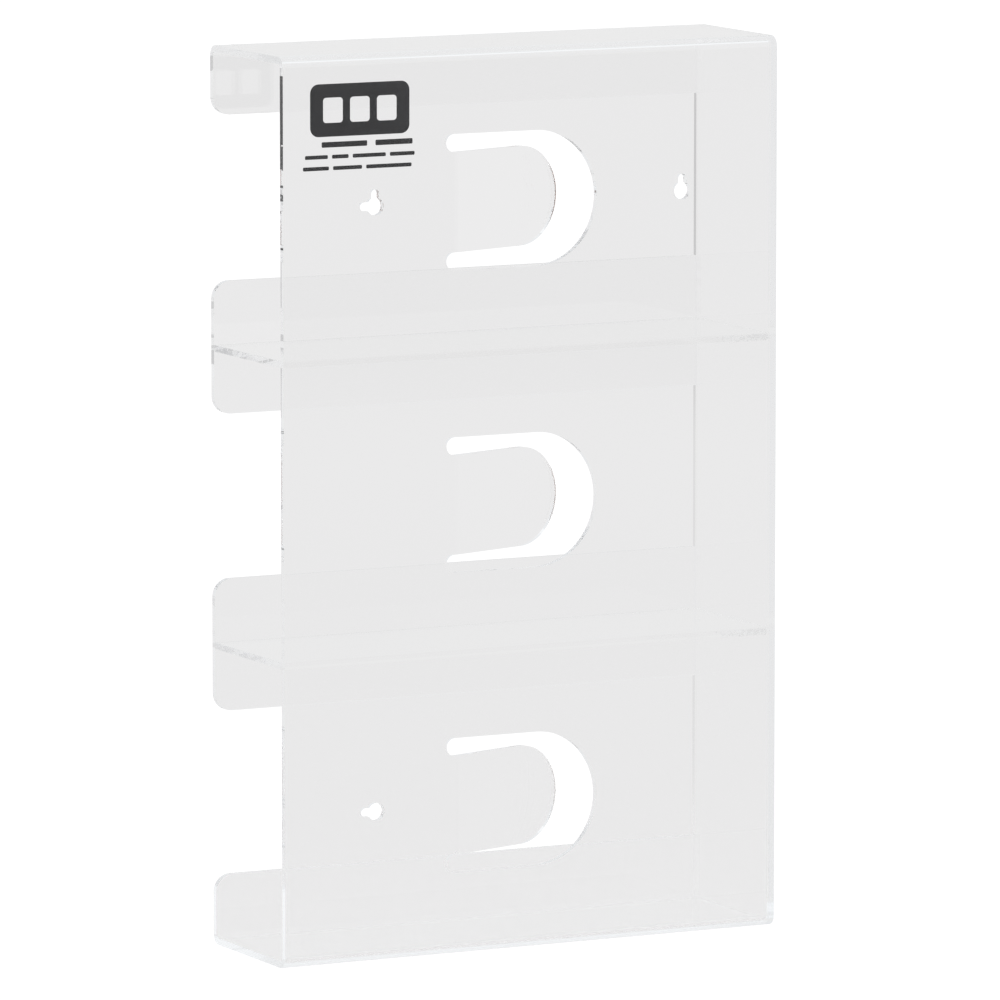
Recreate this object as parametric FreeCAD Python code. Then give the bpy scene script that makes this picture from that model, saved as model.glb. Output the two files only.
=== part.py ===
import FreeCAD, Part
import math
import os

# Wall holder for three boxes of disposable gloves, cut from clear acrylic sheet and glued.
# Lengths are millimetres and angles degrees.
# X runs from the closed side to the open end, Y from the front to the wall, Z upwards.
# The origin is the middle of the footprint, on the surface that the holder stands on.

# Sheet
SHEET = 3.0
BEND_INSIDE = 2.0

# Bays, clear sizes
BAY_COUNT = 3
BAY_LENGTH = 240.0
BAY_HEIGHT = 129.5
BAY_DEPTH = 68.0

# Front edges that hold the boxes in
LIP_HEIGHT = 31.0
STRIP_HEIGHT = 59.0
FREE_CORNER = 8.0

# Spring tongues, flat sizes, the root measured from the open end
TONGUE_ROOT = 83.0
TONGUE_LENGTH = 62.0
TONGUE_HEIGHT = 44.0
TONGUE_SLOT = 8.0
TONGUE_ANGLE = 18.0
TONGUE_BEND_INSIDE = 6.0

# Keyholes, the inset measured from either end of the sheet
KEYHOLE_INSET = 44.5
KEYHOLE_HEAD = 8.0
KEYHOLE_SLOT = 4.0
KEYHOLE_TRAVEL = 5.5

# Overall size and planes that the pieces share
LENGTH = BAY_LENGTH + SHEET
DEPTH = BAY_DEPTH + 2 * SHEET
HEIGHT = BAY_COUNT * (BAY_HEIGHT + SHEET) + SHEET

CLOSED_FACE = -LENGTH / 2
OPEN_FACE = LENGTH / 2
SHEET_END = CLOSED_FACE + SHEET
FRONT = -DEPTH / 2
FRONT_INSIDE = FRONT + SHEET
WALL = DEPTH / 2
WALL_INSIDE = WALL - SHEET


def box(x0, x1, y0, y1, z0, z1):
    return Part.makeBox(x1 - x0, y1 - y0, z1 - z0, FreeCAD.Vector(x0, y0, z0))


def edges_at(shape, **place):
    """Edges of the shape whose two ends both lie at the given coordinates."""
    found = []
    for edge in shape.Edges:
        ends = [vertex.Point for vertex in edge.Vertexes]
        if len(ends) == 2 and all(
            abs(getattr(end, axis) - value) < 1e-6 for end in ends for axis, value in place.items()
        ):
            found.append(edge)
    return found


def rounded_along_x(x0, x1, y0, y1, z0, z1, radius):
    """A block whose four long edges along X are rounded, like a bent sheet's corners."""
    block = box(x0, x1, y0, y1, z0, z1)
    corners = [edge for y in (y0, y1) for z in (z0, z1) for edge in edges_at(block, y=y, z=z)]
    return block.makeFillet(radius, corners)


def row_height(row):
    """Middle of one of the equal rows that the back is divided in, one to a bay."""
    return HEIGHT * (row + 0.5) / BAY_COUNT


def shelf_bottom(level):
    return level * (BAY_HEIGHT + SHEET)


# Body sheet

def bent_sheet():
    """Top lip, top, back, bottom and bottom lip, bent from one sheet into a C."""
    outside = rounded_along_x(
        SHEET_END, OPEN_FACE, FRONT, WALL, 0, HEIGHT, BEND_INSIDE + SHEET
    )
    inside = rounded_along_x(
        SHEET_END, OPEN_FACE, FRONT_INSIDE, WALL_INSIDE, SHEET, HEIGHT - SHEET, BEND_INSIDE
    )
    lip_edges = (LIP_HEIGHT, HEIGHT - LIP_HEIGHT)
    front_opening = box(SHEET_END, OPEN_FACE, FRONT, FRONT_INSIDE, *lip_edges)
    sheet = outside.cut([inside, front_opening])
    corners = [edge for z in lip_edges for edge in edges_at(sheet, x=OPEN_FACE, z=z)]
    return sheet.makeFillet(FREE_CORNER, corners)


def tongue_plate(length, height, row):
    """A flat plate in the plane of the back, from the fold line to a half-round tip."""
    root = OPEN_FACE - TONGUE_ROOT
    radius = height / 2
    middle = row_height(row)
    straight = root - (length - radius)
    upper_root = FreeCAD.Vector(root, WALL_INSIDE, middle + radius)
    upper_arc = FreeCAD.Vector(straight, WALL_INSIDE, middle + radius)
    tip = FreeCAD.Vector(straight - radius, WALL_INSIDE, middle)
    lower_arc = FreeCAD.Vector(straight, WALL_INSIDE, middle - radius)
    lower_root = FreeCAD.Vector(root, WALL_INSIDE, middle - radius)
    outline = Part.Wire([
        Part.LineSegment(upper_root, upper_arc).toShape(),
        Part.Arc(upper_arc, tip, lower_arc).toShape(),
        Part.LineSegment(lower_arc, lower_root).toShape(),
        Part.LineSegment(lower_root, upper_root).toShape(),
    ])
    return Part.Face(outline).extrude(FreeCAD.Vector(0, SHEET, 0))


def hole(x, z, diameter):
    """A round cutter through the back of the sheet."""
    return Part.makeCylinder(
        diameter / 2, SHEET, FreeCAD.Vector(x, WALL_INSIDE, z), FreeCAD.Vector(0, 1, 0)
    )


def tongue_window(row):
    """What the U-shaped cut frees: the tongue, the slot round it and the slot's round ends."""
    opening = tongue_plate(
        TONGUE_LENGTH + TONGUE_SLOT, TONGUE_HEIGHT + 2 * TONGUE_SLOT, row
    )
    reach = (TONGUE_HEIGHT + TONGUE_SLOT) / 2
    ends = [
        hole(OPEN_FACE - TONGUE_ROOT, row_height(row) + side * reach, TONGUE_SLOT)
        for side in (-1, 1)
    ]
    return opening.fuse(ends)


def sprung_tongue(row):
    """The tongue as it stands after bending: an arc at its root and the flat blade."""
    root = OPEN_FACE - TONGUE_ROOT
    middle = row_height(row)
    pivot = FreeCAD.Vector(root, WALL_INSIDE - TONGUE_BEND_INSIDE, middle)
    upright = FreeCAD.Vector(0, 0, 1)
    arc_length = (TONGUE_BEND_INSIDE + SHEET / 2) * math.radians(TONGUE_ANGLE)
    blade = tongue_plate(TONGUE_LENGTH - arc_length, TONGUE_HEIGHT, row)
    root_face = edges_at(blade, x=root)
    bend = Part.Face(Part.Wire(Part.sortEdges(root_face)[0])).revolve(pivot, upright, TONGUE_ANGLE)
    blade.rotate(pivot, upright, TONGUE_ANGLE)
    return blade.fuse(bend)


def keyhole(x, z, directions):
    """A round head for the screw to pass and a slot for each way the holder can hang."""
    cutters = [hole(x, z, KEYHOLE_HEAD)]
    half = KEYHOLE_SLOT / 2
    for dx, dz in directions:
        end_x = x + dx * KEYHOLE_TRAVEL
        end_z = z + dz * KEYHOLE_TRAVEL
        cutters.append(hole(end_x, end_z, KEYHOLE_SLOT))
        cutters.append(box(
            min(x, end_x) - half * abs(dz), max(x, end_x) + half * abs(dz),
            WALL_INSIDE, WALL,
            min(z, end_z) - half * abs(dx), max(z, end_z) + half * abs(dx),
        ))
    return cutters[0].fuse(cutters[1:])


def body_sheet():
    rows = range(BAY_COUNT)
    up = (0, 1)
    to_open_end = (1, 0)
    open_x = OPEN_FACE - KEYHOLE_INSET
    closed_x = SHEET_END + KEYHOLE_INSET
    low = row_height(0)
    high = row_height(BAY_COUNT - 1)
    cutters = [tongue_window(row) for row in rows] + [
        keyhole(open_x, high, [up, to_open_end]),
        keyhole(closed_x, high, [up]),
        keyhole(open_x, low, [to_open_end]),
    ]
    sheet = bent_sheet().cut(cutters)
    return sheet.fuse([sprung_tongue(row) for row in rows])


# Flat pieces

def side_panel():
    """Closes one end, with its corners rounded like the bends that it is glued over."""
    return rounded_along_x(
        CLOSED_FACE, SHEET_END, FRONT, WALL, 0, HEIGHT, BEND_INSIDE + SHEET
    )


def shelf(level):
    """Lies between the back, the side panel and the strip that it is glued to."""
    bottom = shelf_bottom(level)
    return box(SHEET_END, OPEN_FACE, FRONT_INSIDE, WALL_INSIDE, bottom, bottom + SHEET)


def front_strip(level):
    """Stands centred on the shelf's front edge, with its two free corners rounded."""
    middle = shelf_bottom(level) + SHEET / 2
    z0 = middle - STRIP_HEIGHT / 2
    z1 = middle + STRIP_HEIGHT / 2
    strip = box(SHEET_END, OPEN_FACE, FRONT, FRONT_INSIDE, z0, z1)
    corners = edges_at(strip, x=OPEN_FACE, z=z0) + edges_at(strip, x=OPEN_FACE, z=z1)
    return strip.makeFillet(FREE_CORNER, corners)


nodes = {"body_sheet": body_sheet(), "side_panel": side_panel()}
for level in range(1, BAY_COUNT):
    nodes["shelf_%d" % level] = shelf(level)
    nodes["front_strip_%d" % level] = front_strip(level)

os.makedirs("parts", exist_ok=True)
for name, shape in nodes.items():
    solid = shape.removeSplitter().Solids[0]
    solid.exportStep("parts/%s.step" % name)
    print(name, "%.0f mm3" % solid.Volume, "valid" if solid.isValid() else "invalid")
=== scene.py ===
# Wall holder for three boxes of disposable gloves: clear acrylic sheet, laser cut, bent and cemented.
# Sizes are in millimetres in the text below and each finished mesh is scaled to metres.
# X runs from the closed side to the open end, Y from the front to the wall, Z up from the footprint.

import math

import bmesh
import bpy
from mathutils import Matrix, Vector


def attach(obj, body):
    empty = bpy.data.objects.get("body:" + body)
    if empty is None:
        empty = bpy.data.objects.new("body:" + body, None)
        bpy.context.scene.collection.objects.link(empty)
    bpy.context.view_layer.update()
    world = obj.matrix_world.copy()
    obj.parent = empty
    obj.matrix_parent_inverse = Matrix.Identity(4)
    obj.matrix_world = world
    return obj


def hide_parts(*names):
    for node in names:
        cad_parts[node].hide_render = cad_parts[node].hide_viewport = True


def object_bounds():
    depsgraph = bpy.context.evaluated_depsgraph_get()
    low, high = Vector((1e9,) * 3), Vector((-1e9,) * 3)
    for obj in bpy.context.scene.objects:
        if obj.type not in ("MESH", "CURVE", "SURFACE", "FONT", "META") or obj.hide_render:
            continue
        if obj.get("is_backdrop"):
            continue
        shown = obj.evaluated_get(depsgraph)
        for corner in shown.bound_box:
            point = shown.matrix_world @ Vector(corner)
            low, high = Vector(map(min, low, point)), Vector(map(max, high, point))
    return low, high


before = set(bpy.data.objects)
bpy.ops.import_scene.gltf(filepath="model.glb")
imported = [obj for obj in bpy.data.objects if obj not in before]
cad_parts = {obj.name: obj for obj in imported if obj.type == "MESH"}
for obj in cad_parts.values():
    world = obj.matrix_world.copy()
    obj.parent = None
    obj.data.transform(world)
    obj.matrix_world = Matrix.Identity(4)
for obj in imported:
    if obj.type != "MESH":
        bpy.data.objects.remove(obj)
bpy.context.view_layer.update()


# Cast acrylic sheet, 3 mm, clear. The faces are as cast, glass smooth with the faint long waves of
# the casting plates, so what stands behind is seen sharp and only its reflections waver.

def linear(hex_colour):
    """An sRGB hex colour as the linear red, green, blue and alpha that a socket takes."""
    channels = [int(hex_colour[i:i + 2], 16) / 255 for i in (1, 3, 5)]
    return [c / 12.92 if c <= 0.04045 else ((c + 0.055) / 1.055) ** 2.4 for c in channels] + [1.0]


def add_node(tree, kind, settings={}, inputs={}, links={}):
    """A shader node with its settings, its socket values, and the sockets that feed it."""
    node = tree.nodes.new(kind)
    for name, value in settings.items():
        setattr(node, name, value)
    for socket, value in inputs.items():
        node.inputs[socket].default_value = value
    for socket, source in links.items():
        tree.links.new(source, node.inputs[socket])
    return node


def new_material(name):
    """An empty node material and its node tree."""
    material = bpy.data.materials.new(name)
    material.use_nodes = True
    material.node_tree.nodes.clear()
    return material, material.node_tree


cast_acrylic, tree = new_material("cast_acrylic_sheet")
WAVE_LENGTH = 35.0
place = add_node(tree, "ShaderNodeTexCoord")
waves = add_node(tree, "ShaderNodeTexNoise",
                 inputs={"Scale": 1000 / WAVE_LENGTH, "Detail": 0.0},
                 links={"Vector": place.outputs["Object"]})
relief = add_node(tree, "ShaderNodeBump", inputs={"Strength": 0.3, "Distance": 0.00001},
                  links={"Height": waves.outputs["Fac"]})
sheet_shader = add_node(tree, "ShaderNodeBsdfPrincipled",
                        inputs={"Base Color": linear("#FFFFFF"), "Roughness": 0.0,
                                "Transmission Weight": 1.0, "IOR": 1.49},
                        links={"Normal": relief.outputs["Normal"]})
add_node(tree, "ShaderNodeOutputMaterial", links={"Surface": sheet_shader.outputs["BSDF"]})


# The laser leaves the cut edges polished by its own heat, a little less glossy in fine lines across the
# thickness. Smoke has dulled the tongues' tips, and one burnt dot is left where the top cut began.

LINE_SPACING = 2.5
BURNT_DOT = (-0.0315, 0.0355, 0.3352)
TONGUE_WALL_SIDE = (-0.30902, 0.95106, 0.0)


def edge_material(name, colour, clear_part):
    """A cut edge. Its colour and its clear part are functions that add their nodes and give an output."""
    material, tree = new_material(name)
    place = add_node(tree, "ShaderNodeTexCoord")
    stretched = add_node(tree, "ShaderNodeMapping", inputs={"Scale": (1.0, 0.02, 1.0)},
                         links={"Vector": place.outputs["Object"]})
    lines = add_node(tree, "ShaderNodeTexNoise", inputs={"Scale": 1000 / LINE_SPACING, "Detail": 0.0},
                     links={"Vector": stretched.outputs["Vector"]})
    gloss = add_node(tree, "ShaderNodeMapRange",
                     inputs={"From Min": 0.3, "From Max": 0.7, "To Min": 0.0, "To Max": 0.02},
                     links={"Value": lines.outputs["Fac"]})
    shader = add_node(tree, "ShaderNodeBsdfPrincipled", inputs={"IOR": 1.49},
                      links={"Roughness": gloss.outputs["Result"], "Base Color": colour(tree, place),
                             "Transmission Weight": clear_part(tree, place)})
    add_node(tree, "ShaderNodeOutputMaterial", links={"Surface": shader.outputs["BSDF"]})
    return material


def burnt(tree, place):
    """1 within the burnt dot and 0 round it."""
    distance = add_node(tree, "ShaderNodeVectorMath", {"operation": "DISTANCE"},
                        inputs={1: BURNT_DOT}, links={0: place.outputs["Object"]})
    return add_node(tree, "ShaderNodeMapRange",
                    inputs={"From Min": 0.0007, "From Max": 0.0004, "To Min": 0.0, "To Max": 1.0},
                    links={"Value": distance.outputs["Value"]}).outputs["Result"]


def smoke(tree, place):
    """Up to 1 at a tongue's tip along its wall side, where the laser went in, the most on the top one."""
    split = add_node(tree, "ShaderNodeSeparateXYZ", links={"Vector": place.outputs["Object"]})
    by_height = add_node(tree, "ShaderNodeMapRange",
                         inputs={"From Min": 0.06, "From Max": 0.34, "To Min": 0.5, "To Max": 1.0},
                         links={"Value": split.outputs["Z"]})
    along = add_node(tree, "ShaderNodeMapRange", {"interpolation_type": "SMOOTHSTEP"},
                     inputs={"From Min": -0.0150, "From Max": -0.0195, "To Min": 0.0},
                     links={"Value": split.outputs["X"], "To Max": by_height.outputs["Result"]})
    across = add_node(tree, "ShaderNodeVectorMath", {"operation": "DOT_PRODUCT"},
                      inputs={1: TONGUE_WALL_SIDE}, links={0: place.outputs["Object"]})
    both = add_node(tree, "ShaderNodeMapRange", {"interpolation_type": "SMOOTHSTEP"},
                    inputs={"From Min": 0.0219, "From Max": 0.0229, "To Min": 0.0},
                    links={"Value": across.outputs["Value"], "To Max": along.outputs["Result"]})
    return both.outputs["Result"]


def mixed(plain, marked, mask):
    """The colour function that goes from one colour to the other by the mask."""
    return lambda tree, place: add_node(
        tree, "ShaderNodeMix", {"data_type": "RGBA"}, inputs={"A": linear(plain), "B": linear(marked)},
        links={"Factor": mask(tree, place)}).outputs["Result"]


def clear_but(marked, mask):
    """The clear part of the edge: all of it, and less by the mask."""
    return lambda tree, place: add_node(
        tree, "ShaderNodeMapRange", inputs={"To Min": 1.0, "To Max": marked},
        links={"Value": mask(tree, place)}).outputs["Result"]


cut_edge = edge_material("laser_cut_acrylic_edge",
                         mixed("#FCFDFE", "#5A4030", burnt), clear_but(0.5, burnt))
smoked_edge = edge_material("smoked_acrylic_edge",
                            mixed("#FCFDFE", "#8A5430", smoke), clear_but(0.2, smoke))


# Body sheet: one sheet cut flat with its spring tongues and keyholes, then bent hot over a bar:
# four square bends make the C, and each tongue is bent inwards at its root.

THICK = 3.0
RIM = 0.1
CLOSED_END = -118.5
OPEN_END = 121.5
HEIGHT = 400.5
DEPTH = 74.0
BEND_INSIDE = 2.0
LIP = 31.0
FREE_CORNER = 8.0
CHORD = 0.9


def trace(bm, start, steps):
    """A closed outline in the plane z = 0: (x, y) runs straight there, (x, y, degrees) turns about it."""
    first = vert = bm.verts.new((*start, 0))
    for step in steps:
        if len(step) == 2:
            vert = bmesh.ops.extrude_vert_indiv(bm, verts=[vert])["verts"][0]
            vert.co = (*step, 0)
        else:
            centre = Vector((step[0], step[1], 0))
            turn = math.radians(step[2])
            count = max(6, math.ceil((vert.co - centre).length * abs(turn) / CHORD))
            spun = bmesh.ops.spin(bm, geom=[vert], cent=centre, axis=(0, 0, 1), angle=turn, steps=count)
            vert = spun["geom_last"][0]
    if (vert.co - first.co).length > 1e-4:
        bm.edges.new((vert, first))
    bmesh.ops.remove_doubles(bm, verts=bm.verts, dist=1e-4)


def plate(bm, joints):
    """The traced outlines filled, given the sheet's thickness downwards, with the edges just taken off.

    A joint is a plane (axis, place). Edges in it stay sharp, and the cement has melted its cut face clear.
    """
    def in_joint(verts):
        return any(all(abs(vert.co[axis] - place) < 0.01 for vert in verts) for axis, place in joints)

    bmesh.ops.triangle_fill(bm, use_beauty=True, use_dissolve=False, edges=bm.edges[:], normal=(0, 0, 1))
    grown = bmesh.ops.extrude_face_region(bm, geom=bm.faces[:], use_keep_orig=True)
    raised = [item for item in grown["geom"] if isinstance(item, bmesh.types.BMVert)]
    bmesh.ops.translate(bm, verts=raised, vec=(0, 0, -THICK))
    bmesh.ops.recalc_face_normals(bm, faces=bm.faces)
    bm.normal_update()
    for face in bm.faces:
        face.material_index = 0 if abs(face.normal.z) > 0.99 or in_joint(face.verts) else 1
    rims = [
        edge for edge in bm.edges
        if edge.calc_face_angle(0) > 1.0 and abs(edge.verts[0].co.z - edge.verts[1].co.z) < 1e-6
        and not in_joint(edge.verts)
    ]
    bmesh.ops.bevel(bm, geom=rims, offset=RIM, offset_type="OFFSET", segments=2, profile=0.5,
                    affect="EDGES", clamp_overlap=True, material=1)
    for edge in bm.edges:
        edge.smooth = edge.calc_face_angle(0) < 0.9


def bend(bm, verts, start, along, inward, inside_radius, degrees):
    """Wraps the verts past the start line, which lies on the inside face, round the inside radius."""
    middle = inside_radius + THICK / 2
    arc = middle * math.radians(degrees)
    start, along, inward = Vector(start), Vector(along), Vector(inward)
    axis = along.cross(inward)
    centre = start + inward * inside_radius
    for vert in verts:
        reach = (vert.co - start).dot(along)
        if reach > 0:
            wrapped = min(reach, arc)
            turn = Matrix.Rotation(wrapped / middle, 3, axis)
            vert.co = centre + turn @ (vert.co - along * wrapped - centre)


def score(bm, point, normal, spacing, count):
    """Cuts the faces along evenly spaced lines, where the sheet is going to curve."""
    for i in range(count + 1):
        bmesh.ops.bisect_plane(bm, geom=bm.verts[:] + bm.edges[:] + bm.faces[:], dist=1e-4,
                               plane_co=Vector(point) + Vector(normal) * spacing * i, plane_no=normal)


def finished(bm, name, *materials):
    """The mesh in metres, smooth over its bends and rims and true on its flat faces, riding on the body."""
    bmesh.ops.scale(bm, vec=(0.001, 0.001, 0.001), verts=bm.verts)
    for face in bm.faces:
        face.smooth = True
    mesh = bpy.data.meshes.new(name)
    bm.to_mesh(mesh)
    bm.free()
    for material in materials:
        mesh.materials.append(material)
    piece = bpy.data.objects.new(name, mesh)
    bpy.context.scene.collection.objects.link(piece)
    even = piece.modifiers.new("flat faces stay flat", "WEIGHTED_NORMAL")
    even.weight = 100
    even.keep_sharp = True
    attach(piece, "root")
    return piece


ROWS = [HEIGHT * (row + 0.5) / 3 for row in range(3)]
BEND_ARC = (BEND_INSIDE + THICK / 2) * math.pi / 2
BEND_TAKES = BEND_INSIDE + THICK
FLAT_LIP = LIP - BEND_TAKES
FLAT_SHELF = DEPTH - 2 * BEND_TAKES
TOP_BEND = HEIGHT - BEND_TAKES
TOP_LIP_BEND = TOP_BEND + BEND_ARC + FLAT_SHELF
TOP_EDGE = TOP_LIP_BEND + BEND_ARC + FLAT_LIP
BOTTOM_BEND = BEND_TAKES
BOTTOM_LIP_BEND = BOTTOM_BEND - BEND_ARC - FLAT_SHELF
BOTTOM_EDGE = BOTTOM_LIP_BEND - BEND_ARC - FLAT_LIP

bm = bmesh.new()
trace(bm, (CLOSED_END, BOTTOM_EDGE), [
    (OPEN_END - FREE_CORNER, BOTTOM_EDGE),
    (OPEN_END - FREE_CORNER, BOTTOM_EDGE + FREE_CORNER, 90),
    (OPEN_END, TOP_EDGE - FREE_CORNER),
    (OPEN_END - FREE_CORNER, TOP_EDGE - FREE_CORNER, 90),
    (CLOSED_END, TOP_EDGE),
])

TONGUE_ROOT = 38.5
TONGUE_TIP_CENTRE = -1.5
TONGUE_HALF = 22.0
SLOT = 8.0
for row in ROWS:
    outer = TONGUE_HALF + SLOT
    middle_of_slot = TONGUE_HALF + SLOT / 2
    trace(bm, (TONGUE_ROOT, row + outer), [
        (TONGUE_TIP_CENTRE, row + outer),
        (TONGUE_TIP_CENTRE, row, 180),
        (TONGUE_ROOT, row - outer),
        (TONGUE_ROOT, row - middle_of_slot, 180),
        (TONGUE_TIP_CENTRE, row - TONGUE_HALF),
        (TONGUE_TIP_CENTRE, row, -180),
        (TONGUE_ROOT, row + TONGUE_HALF),
        (TONGUE_ROOT, row + middle_of_slot, 180),
    ])

HEAD = 4.0
NECK = 2.0
TRAVEL = 5.5
KEYHOLE_INSET = 44.5
neck_start = math.sqrt(HEAD ** 2 - NECK ** 2)
neck_angle = math.degrees(math.asin(NECK / HEAD))
OPEN_HOLE = OPEN_END - KEYHOLE_INSET
CLOSED_HOLE = CLOSED_END + KEYHOLE_INSET
trace(bm, (CLOSED_HOLE - NECK, ROWS[2] + neck_start), [
    (CLOSED_HOLE, ROWS[2], 360 - 2 * neck_angle),
    (CLOSED_HOLE + NECK, ROWS[2] + TRAVEL),
    (CLOSED_HOLE, ROWS[2] + TRAVEL, 180),
])
trace(bm, (OPEN_HOLE + neck_start, ROWS[0] + NECK), [
    (OPEN_HOLE, ROWS[0], 360 - 2 * neck_angle),
    (OPEN_HOLE + TRAVEL, ROWS[0] - NECK),
    (OPEN_HOLE + TRAVEL, ROWS[0], 180),
])
trace(bm, (OPEN_HOLE - NECK, ROWS[2] + neck_start), [
    (OPEN_HOLE, ROWS[2], 270 - 2 * neck_angle),
    (OPEN_HOLE + TRAVEL, ROWS[2] - NECK),
    (OPEN_HOLE + TRAVEL, ROWS[2], 180),
    (OPEN_HOLE + neck_start, ROWS[2] + NECK),
    (OPEN_HOLE, ROWS[2], 90 - 2 * neck_angle),
    (OPEN_HOLE + NECK, ROWS[2] + TRAVEL),
    (OPEN_HOLE, ROWS[2] + TRAVEL, 180),
])
plate(bm, [(0, CLOSED_END)])

TONGUE_BEND_INSIDE = 6.0
TONGUE_ANGLE = 18.0
BEND_SCORES = 12
TONGUE_SCORES = 5
for line in (BOTTOM_LIP_BEND - BEND_ARC, BOTTOM_BEND - BEND_ARC, TOP_BEND, TOP_LIP_BEND):
    score(bm, (0, line, 0), (0, 1, 0), BEND_ARC / BEND_SCORES, BEND_SCORES)
tongue_arc = (TONGUE_BEND_INSIDE + THICK / 2) * math.radians(TONGUE_ANGLE)
score(bm, (TONGUE_ROOT - tongue_arc, 0, 0), (1, 0, 0), tongue_arc / TONGUE_SCORES, TONGUE_SCORES)

bmesh.ops.rotate(bm, verts=bm.verts, matrix=Matrix.Rotation(math.radians(90), 3, "X"))
INSIDE_FACE = DEPTH / 2 - THICK
bmesh.ops.translate(bm, verts=bm.verts, vec=(0, INSIDE_FACE, 0))
up, down, to_front, to_tip = (0, 0, 1), (0, 0, -1), (0, -1, 0), (-1, 0, 0)
for row in ROWS:
    tongue = [
        vert for vert in bm.verts
        if abs(vert.co.z - row) < TONGUE_HALF + RIM and vert.co.x < TONGUE_ROOT
        and (vert.co.x > TONGUE_TIP_CENTRE
             or math.hypot(vert.co.x - TONGUE_TIP_CENTRE, vert.co.z - row) < TONGUE_HALF + RIM)
    ]
    bend(bm, tongue, (TONGUE_ROOT, INSIDE_FACE, row), to_tip, to_front, TONGUE_BEND_INSIDE, TONGUE_ANGLE)
for line, along in ((TOP_LIP_BEND, up), (BOTTOM_LIP_BEND, down), (TOP_BEND, up), (BOTTOM_BEND, down)):
    bend(bm, bm.verts, (0, INSIDE_FACE, line), along, to_front, BEND_INSIDE, 90)

CUT_EDGE, SMOKED_EDGE = 1, 2
for face in bm.faces:
    centre = face.calc_center_median()
    if face.material_index == CUT_EDGE and abs(centre.x) < TONGUE_ROOT and 0 < centre.y < INSIDE_FACE - 1:
        face.material_index = SMOKED_EDGE
body_sheet = finished(bm, "bent_body_sheet", cast_acrylic, cut_edge, smoked_edge)
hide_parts("body_sheet")


# Side panel: a flat sheet whose rounded corners follow the bends. It closes one end and is cemented
# to the cut edge of the body sheet and to the ends of the shelves and strips. The solvent melts the
# sheets into each other by the small depth CONTACT.

CONTACT = 0.02

bm = bmesh.new()
half = DEPTH / 2
corner = BEND_TAKES
trace(bm, (corner - half, 0), [
    (half - corner, 0), (half - corner, corner, 90),
    (half, HEIGHT - corner), (half - corner, HEIGHT - corner, 90),
    (corner - half, HEIGHT), (corner - half, HEIGHT - corner, 90),
    (-half, corner), (corner - half, corner, 90),
])
plate(bm, [(2, 0)])
bmesh.ops.rotate(bm, verts=bm.verts, matrix=Matrix.Rotation(math.radians(90), 3, "X"))
bmesh.ops.rotate(bm, verts=bm.verts, matrix=Matrix.Rotation(math.radians(90), 3, "Z"))
glued_face = max(vert.co.x for vert in bm.verts)
bmesh.ops.translate(bm, verts=bm.verts, vec=(CLOSED_END + CONTACT - glued_face, 0, 0))
side_panel = finished(bm, "cemented_side_panel", cast_acrylic, cut_edge)
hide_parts("side_panel")


# Shelves and front strips: flat sheets, one pair over each lower bay. A shelf is cemented to the back,
# the side panel and the inside of its strip, which stands centred on the shelf's front edge.

STRIP = 59.0
SHELF_BOTTOMS = ((1, 132.5), (2, 265.0))
for level, shelf_bottom in SHELF_BOTTOMS:
    bm = bmesh.new()
    depth = DEPTH / 2 - THICK + CONTACT
    trace(bm, (CLOSED_END - CONTACT, -depth), [
        (OPEN_END, -depth), (OPEN_END, depth), (CLOSED_END - CONTACT, depth)])
    plate(bm, [(0, CLOSED_END - CONTACT), (1, depth), (1, -depth)])
    bmesh.ops.translate(bm, verts=bm.verts, vec=(0, 0, shelf_bottom + THICK))
    shelf = finished(bm, "shelf_sheet_%d" % level, cast_acrylic, cut_edge)
    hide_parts("shelf_%d" % level)

    bm = bmesh.new()
    low = shelf_bottom + THICK / 2 - STRIP / 2
    high = low + STRIP
    trace(bm, (CLOSED_END - CONTACT, low), [
        (OPEN_END - FREE_CORNER, low), (OPEN_END - FREE_CORNER, low + FREE_CORNER, 90),
        (OPEN_END, high - FREE_CORNER), (OPEN_END - FREE_CORNER, high - FREE_CORNER, 90),
        (CLOSED_END - CONTACT, high)])
    plate(bm, [(0, CLOSED_END - CONTACT)])
    bmesh.ops.rotate(bm, verts=bm.verts, matrix=Matrix.Rotation(math.radians(90), 3, "X"))
    bmesh.ops.translate(bm, verts=bm.verts, vec=(0, -DEPTH / 2, 0))
    strip = finished(bm, "front_strip_sheet_%d" % level, cast_acrylic, cut_edge)
    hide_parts("front_strip_%d" % level)


# Cement: water-thin solvent that ran into the shelves' joints. It left a dull, grey, broken patch where
# a shelf meets the back near the closed end, and bluish voids on the shelf's free end near the front.

cement, tree = new_material("dull_solvent_cement")
VOID_SIZE = 1.3
place = add_node(tree, "ShaderNodeTexCoord")
voids = add_node(tree, "ShaderNodeTexNoise", inputs={"Scale": 1000 / VOID_SIZE, "Detail": 2.0},
                 links={"Vector": place.outputs["Object"]})
split = add_node(tree, "ShaderNodeSeparateXYZ", links={"Vector": place.outputs["Object"]})
along_back = add_node(tree, "ShaderNodeMapRange",
                      inputs={"From Min": -0.112, "From Max": -0.092, "To Min": 1.0, "To Max": 0.0},
                      links={"Value": split.outputs["X"]})
from_front = add_node(tree, "ShaderNodeMapRange",
                      inputs={"From Min": -0.010, "From Max": 0.030, "To Min": 0.75, "To Max": 0.2},
                      links={"Value": split.outputs["Y"]})
free_end = add_node(tree, "ShaderNodeMath", {"operation": "GREATER_THAN"}, inputs={1: 0.0},
                    links={0: split.outputs["X"]})
at_end = add_node(tree, "ShaderNodeMath", {"operation": "MULTIPLY"},
                  links={0: from_front.outputs["Result"], 1: free_end.outputs["Value"]})
either = add_node(tree, "ShaderNodeMath", {"operation": "MAXIMUM"},
                  links={0: along_back.outputs["Result"], 1: at_end.outputs["Value"]})
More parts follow.
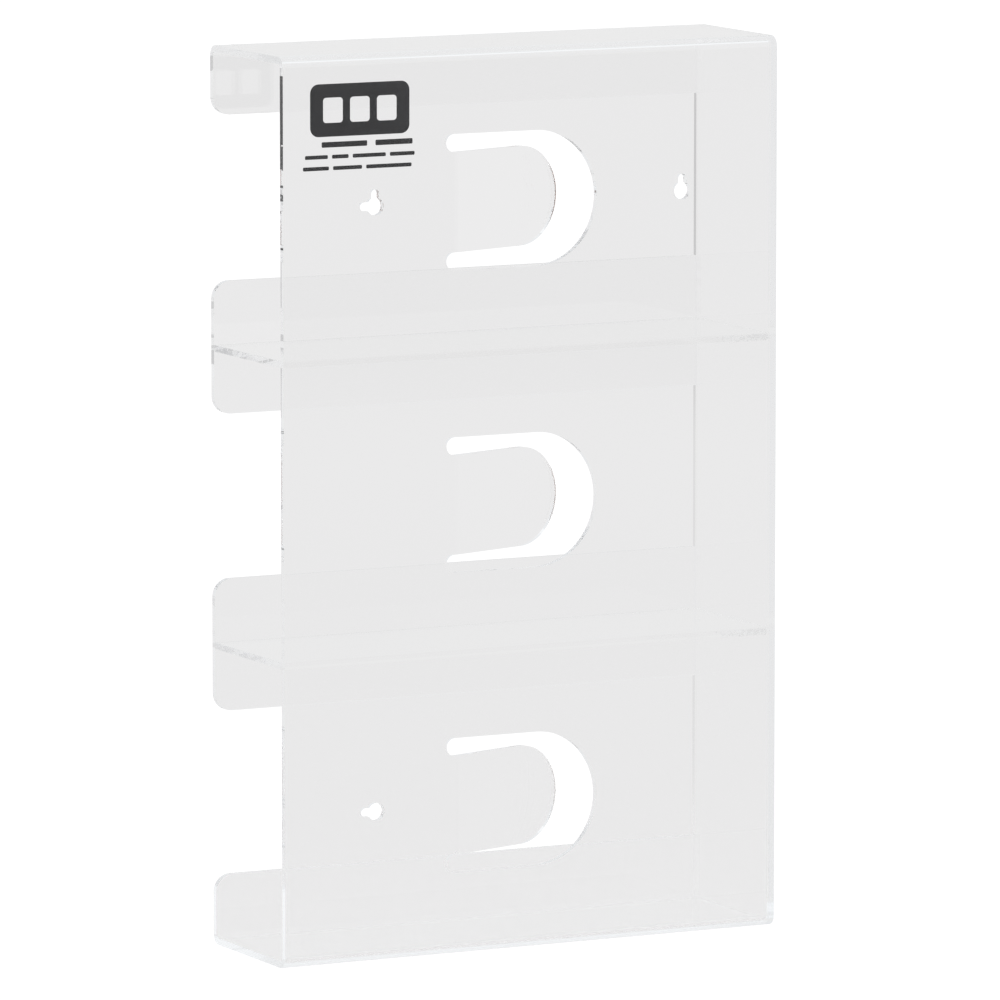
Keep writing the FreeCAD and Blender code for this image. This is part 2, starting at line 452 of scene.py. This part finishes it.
lifted = add_node(tree, "ShaderNodeMath", {"operation": "MULTIPLY_ADD"}, inputs={1: 0.25},
                  links={0: either.outputs["Value"], 2: voids.outputs["Fac"]})
shown = add_node(tree, "ShaderNodeMapRange",
                 inputs={"From Min": 0.60, "From Max": 0.78, "To Min": 0.0, "To Max": 0.05},
                 links={"Value": lifted.outputs["Value"]})
tone = add_node(tree, "ShaderNodeMix", {"data_type": "RGBA"},
                inputs={"A": linear("#8E8E90"), "B": linear("#76789A")},
                links={"Factor": free_end.outputs["Value"]})
dull = add_node(tree, "ShaderNodeBsdfPrincipled", inputs={"Roughness": 0.5},
                links={"Base Color": tone.outputs["Result"], "Alpha": shown.outputs["Result"]})
add_node(tree, "ShaderNodeOutputMaterial", links={"Surface": dull.outputs["BSDF"]})

FILM = 0.006
BACK_PATCH = 26.0
BACK_INSET = 0.3
BACK_SAG = 0.4
END_PATCH = 60.0
END_INSET = 0.6
END_WIDTH = THICK - 0.8
END_DEPTH = 0.02
for level, shelf_bottom in SHELF_BOTTOMS:
    middle = shelf_bottom + THICK / 2
    back = (CLOSED_END + BACK_INSET + BACK_PATCH / 2, INSIDE_FACE, middle - BACK_SAG)
    end = (OPEN_END - END_DEPTH, END_INSET + END_PATCH / 2 - INSIDE_FACE, middle)
    for name, centre, size in (("back", back, (BACK_PATCH, FILM, THICK)),
                               ("end", end, (FILM, END_PATCH, END_WIDTH))):
        bm = bmesh.new()
        bmesh.ops.create_cube(bm, size=1.0)
        bmesh.ops.subdivide_edges(bm, edges=bm.edges, cuts=2, use_grid_fill=True)
        bmesh.ops.scale(bm, vec=size, verts=bm.verts)
        bmesh.ops.translate(bm, verts=bm.verts, vec=centre)
        finished(bm, "cement_film_%d_%s" % (level, name), cement)


# Print: one pass of black screen ink on the bay side of the back, near its open top corner: a dark
# rounded field with three open boxes, one for each bay, and three broken bars under it.

ink, tree = new_material("black_screen_ink")
GRAIN = 0.3
place = add_node(tree, "ShaderNodeTexCoord")
grain = add_node(tree, "ShaderNodeTexNoise", inputs={"Scale": 1000 / GRAIN, "Detail": 1.0},
                 links={"Vector": place.outputs["Object"]})
shade = add_node(tree, "ShaderNodeMix", {"data_type": "RGBA"},
                 inputs={"A": linear("#16161A"), "B": linear("#202024")},
                 links={"Factor": grain.outputs["Fac"]})
ink_shader = add_node(tree, "ShaderNodeBsdfPrincipled", inputs={"Roughness": 0.45},
                      links={"Base Color": shade.outputs["Result"]})
add_node(tree, "ShaderNodeOutputMaterial", links={"Surface": ink_shader.outputs["BSDF"]})

INK = 0.03


def rounded(bm, x, z, width, height, radius):
    """A rounded oblong outline about (x, z)."""
    x0, x1, z0, z1 = x - width / 2, x + width / 2, z - height / 2, z + height / 2
    trace(bm, (x0 + radius, z0), [
        (x1 - radius, z0), (x1 - radius, z0 + radius, 90),
        (x1, z1 - radius), (x1 - radius, z1 - radius, 90),
        (x0 + radius, z1), (x0 + radius, z1 - radius, 90),
        (x0, z0 + radius), (x0 + radius, z0 + radius, 90)])


FIELD_X, FIELD_Z = 83.5, 376.5
BOX_SPACING = 13.0
BARS = (
    (361.5, 2.4, ((58.0, 18.0), (80.0, 22.0))),
    (356.2, 1.7, ((57.0, 12.0), (71.0, 16.0), (89.0, 8.0), (99.0, 11.0))),
    (351.2, 1.7, ((58.5, 22.0), (82.5, 14.0), (98.5, 12.5))),
)
bm = bmesh.new()
rounded(bm, FIELD_X, FIELD_Z, 48.0, 23.0, 4.0)
for column in (-1, 0, 1):
    rounded(bm, FIELD_X + column * BOX_SPACING, FIELD_Z, 9.5, 11.0, 1.5)
for z, height, dashes in BARS:
    for x, width in dashes:
        rounded(bm, x + width / 2, z, width, height, 0.5)
bmesh.ops.triangle_fill(bm, use_beauty=True, use_dissolve=False, edges=bm.edges[:], normal=(0, 0, 1))
grown = bmesh.ops.extrude_face_region(bm, geom=bm.faces[:], use_keep_orig=True)
raised = [item for item in grown["geom"] if isinstance(item, bmesh.types.BMVert)]
bmesh.ops.translate(bm, verts=raised, vec=(0, 0, INK))
bmesh.ops.recalc_face_normals(bm, faces=bm.faces)
bmesh.ops.rotate(bm, verts=bm.verts, matrix=Matrix.Rotation(math.radians(90), 3, "X"))
bmesh.ops.translate(bm, verts=bm.verts, vec=(0, INSIDE_FACE + INK / 2, 0))
finished(bm, "printed_field", ink)


# Ground, light and camera. The ground is a white table whose light is mostly a painted glow, an emission as
# if lit from below, and a little diffuse white lit by the studio. It reads white where the camera sees it
# straight. Seen through or in the sheets it is pale grey, with painted shade: on the wall's side it is
# painted darker, the further away the more, and near the object it carries a faint painted shadow.

ground, tree = new_material("white_table_painted_glow_and_shade")
# Painted shade: the table's colour and glow are made darker towards the wall's side, past the base, the
# further away the more. The studio light is not dimmer there.
DIM_SIDE = (0.2, 0.98, 0.0)
place = add_node(tree, "ShaderNodeTexCoord")
heading = add_node(tree, "ShaderNodeVectorMath", {"operation": "NORMALIZE"},
                   links={0: place.outputs["Object"]})
reach = add_node(tree, "ShaderNodeVectorMath", {"operation": "LENGTH"}, links={0: place.outputs["Object"]})
toward_wall = add_node(tree, "ShaderNodeVectorMath", {"operation": "DOT_PRODUCT"},
                       inputs={1: DIM_SIDE}, links={0: heading.outputs["Vector"]})
depth_of_dim = add_node(tree, "ShaderNodeMapRange", {"interpolation_type": "SMOOTHSTEP"},
                        inputs={"From Min": 1.6, "From Max": 2.3, "To Min": -0.13, "To Max": -0.34},
                        links={"Value": reach.outputs["Value"]})
dim = add_node(tree, "ShaderNodeMapRange", {"interpolation_type": "SMOOTHSTEP"},
               inputs={"From Min": 0.35, "From Max": 0.75, "To Min": 0.0},
               links={"Value": toward_wall.outputs["Value"], "To Max": depth_of_dim.outputs["Result"]})
beyond_base = add_node(tree, "ShaderNodeMapRange", {"interpolation_type": "SMOOTHSTEP"},
                       inputs={"From Min": 0.15, "From Max": 0.40, "To Min": 0.0, "To Max": 1.0},
                       links={"Value": reach.outputs["Value"]})
level = add_node(tree, "ShaderNodeMath", {"operation": "MULTIPLY_ADD"}, inputs={2: 1.0},
                 links={0: dim.outputs["Result"], 1: beyond_base.outputs["Result"]})
# Painted shadow: the table is made up to 2% darker near the object, fading out with distance, for the
# object's own soft shadow.
near = add_node(tree, "ShaderNodeMapRange", {"interpolation_type": "SMOOTHSTEP"},
                inputs={"From Min": 0.8, "From Max": 2.6, "To Min": 0.980, "To Max": 1.0},
                links={"Value": reach.outputs["Value"]})
shade = add_node(tree, "ShaderNodeMath", {"operation": "MULTIPLY"},
                 links={0: level.outputs["Value"], 1: near.outputs["Result"]})
ray = add_node(tree, "ShaderNodeLightPath")
seen = add_node(tree, "ShaderNodeMix", {"data_type": "FLOAT"}, inputs={"B": 1.0},
                links={"Factor": ray.outputs["Is Camera Ray"], "A": shade.outputs["Value"]})
# Painted glow: most of the table's light is emission, not lamp light. It is stronger where the camera sees
# it straight, and it lightens any shadow on the table.
lit = add_node(tree, "ShaderNodeMapRange", {"data_type": "FLOAT"},
               inputs={"From Min": 0.0, "From Max": 1.0, "To Min": 0.663, "To Max": 0.90},
               links={"Value": ray.outputs["Is Camera Ray"]})
strength = add_node(tree, "ShaderNodeMath", {"operation": "MULTIPLY"},
                    links={0: seen.outputs["Result"], 1: lit.outputs["Result"]})
white = add_node(tree, "ShaderNodeMath", {"operation": "MULTIPLY"}, inputs={1: 0.20},
                 links={0: seen.outputs["Result"]})
paper = add_node(tree, "ShaderNodeBsdfDiffuse", links={"Color": white.outputs["Value"]})
glow = add_node(tree, "ShaderNodeEmission", inputs={"Color": linear("#FFFEFE")},
                links={"Strength": strength.outputs["Value"]})
both = add_node(tree, "ShaderNodeAddShader", links={0: paper.outputs["BSDF"], 1: glow.outputs["Emission"]})
add_node(tree, "ShaderNodeOutputMaterial", links={"Surface": both.outputs["Shader"]})

TABLE_HALF = 60.0
TABLE_GAP = 0.0001
bm = bmesh.new()
bmesh.ops.create_grid(bm, x_segments=1, y_segments=1, size=TABLE_HALF)
mesh = bpy.data.meshes.new("ground")
bm.to_mesh(mesh)
bm.free()
mesh.transform(Matrix.Translation((0, 0, -TABLE_GAP)))
mesh.materials.append(ground)
floor = bpy.data.objects.new("ground", mesh)
bpy.context.scene.collection.objects.link(floor)
floor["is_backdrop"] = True

world = bpy.data.worlds.new("soft studio")
bpy.context.scene.world = world
world.use_nodes = True
tree = world.node_tree
tree.nodes.clear()
place = add_node(tree, "ShaderNodeTexCoord")
height = add_node(tree, "ShaderNodeSeparateXYZ", links={"Vector": place.outputs["Generated"]})
light = add_node(tree, "ShaderNodeMapRange",
                 inputs={"From Min": 0.0, "From Max": 1.0, "To Min": 0.83, "To Max": 0.88},
                 links={"Value": height.outputs["Z"]})
ray = add_node(tree, "ShaderNodeLightPath")
seen = add_node(tree, "ShaderNodeMix", {"data_type": "FLOAT"}, inputs={"B": 1.02},
                links={"Factor": ray.outputs["Is Camera Ray"], "A": light.outputs["Result"]})
blue = add_node(tree, "ShaderNodeMapRange", {"interpolation_type": "SMOOTHSTEP"},
                inputs={"From Min": 0.10, "From Max": 0.40, "To Min": 0.0, "To Max": 1.0},
                links={"Value": height.outputs["Z"]})
hue = add_node(tree, "ShaderNodeMix", {"data_type": "RGBA"},
               inputs={"A": linear("#FFFFFF"), "B": linear("#FBFDFF")},
               links={"Factor": blue.outputs["Result"]})
sky = add_node(tree, "ShaderNodeBackground",
               links={"Color": hue.outputs["Result"], "Strength": seen.outputs["Result"]})
add_node(tree, "ShaderNodeOutputWorld", links={"Surface": sky.outputs["Background"]})

softbox = bpy.data.lights.new("overhead softbox", "SUN")
softbox.angle = math.radians(90)
softbox.energy = 0.18
lamp = bpy.data.objects.new("overhead softbox", softbox)
bpy.context.scene.collection.objects.link(lamp)

CAMERA_AZIMUTH = math.radians(153.2016)
CAMERA_ELEVATION = math.radians(7.6562)
CAMERA_DISTANCE = 4.325908
AIM_HEIGHT = 0.195759
AIM_RIGHT = 0.0021755
back = Vector((math.sin(CAMERA_AZIMUTH) * math.cos(CAMERA_ELEVATION),
               -math.cos(CAMERA_AZIMUTH) * math.cos(CAMERA_ELEVATION), math.sin(CAMERA_ELEVATION)))
right = Vector((math.cos(CAMERA_AZIMUTH), math.sin(CAMERA_AZIMUTH), 0))
camera_data = bpy.data.cameras.new("camera")
camera_data.sensor_width = 36.0
camera_data.lens = 350.76
camera = bpy.data.objects.new("camera", camera_data)
camera.location = Vector((0, 0, AIM_HEIGHT)) + right * AIM_RIGHT + back * CAMERA_DISTANCE
camera.rotation_euler = (-back).to_track_quat("-Z", "Y").to_euler()
bpy.context.scene.collection.objects.link(camera)
bpy.context.scene.camera = camera
bpy.context.scene.view_settings.view_transform = "Standard"

# Light runs along inside a sheet for hundreds of reflections before it leaves by a cut edge.
LONGEST_PATH = 1000
light_paths = bpy.context.scene.cycles
light_paths.diffuse_bounces = 12
light_paths.max_bounces = LONGEST_PATH
light_paths.glossy_bounces = LONGEST_PATH
light_paths.transmission_bounces = LONGEST_PATH
light_paths.blur_glossy = 0.0

low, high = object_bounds()
